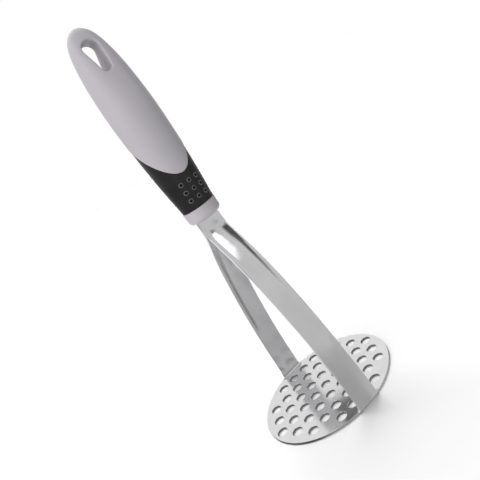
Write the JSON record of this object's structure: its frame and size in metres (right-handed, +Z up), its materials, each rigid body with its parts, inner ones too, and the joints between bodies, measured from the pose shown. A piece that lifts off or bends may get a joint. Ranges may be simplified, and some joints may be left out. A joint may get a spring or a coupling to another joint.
{
  "type": "potato masher",
  "caption": "One-hand potato masher: a flat perforated oval plate on two bowed legs that close into a neck, with a soft-grip handle and a hanging hole.",
  "frame": {"origin": "centre of the plate's underside, the face that rests on a table", "axes": "+Z up the handle, +X from the rear leg to the front leg (the side of the dimpled thumb face), +Y across the legs along the plate's long axis"},
  "size_m": [0.076, 0.085, 0.233],
  "materials": {
    "plate_steel": "polished",
    "leg_steel": "satin",
    "pin_steel": "turned",
    "core_plastic": "moulded",
    "collar_plastic": "fine matte",
    "grip_rubber": "matte",
    "handle_plastic": "soft-touch matte"
  },
  "bodies": {
    "root": {"mashing_plate": "plate_steel", "front_leg": "leg_steel", "rear_leg": "leg_steel", "handle_core": "core_plastic", "lower_tang_pin": "pin_steel", "upper_tang_pin": "pin_steel", "end_collar": "collar_plastic", "grip_sleeve": "grip_rubber", "handle_body": "handle_plastic"}
  },
  "joints": []
}
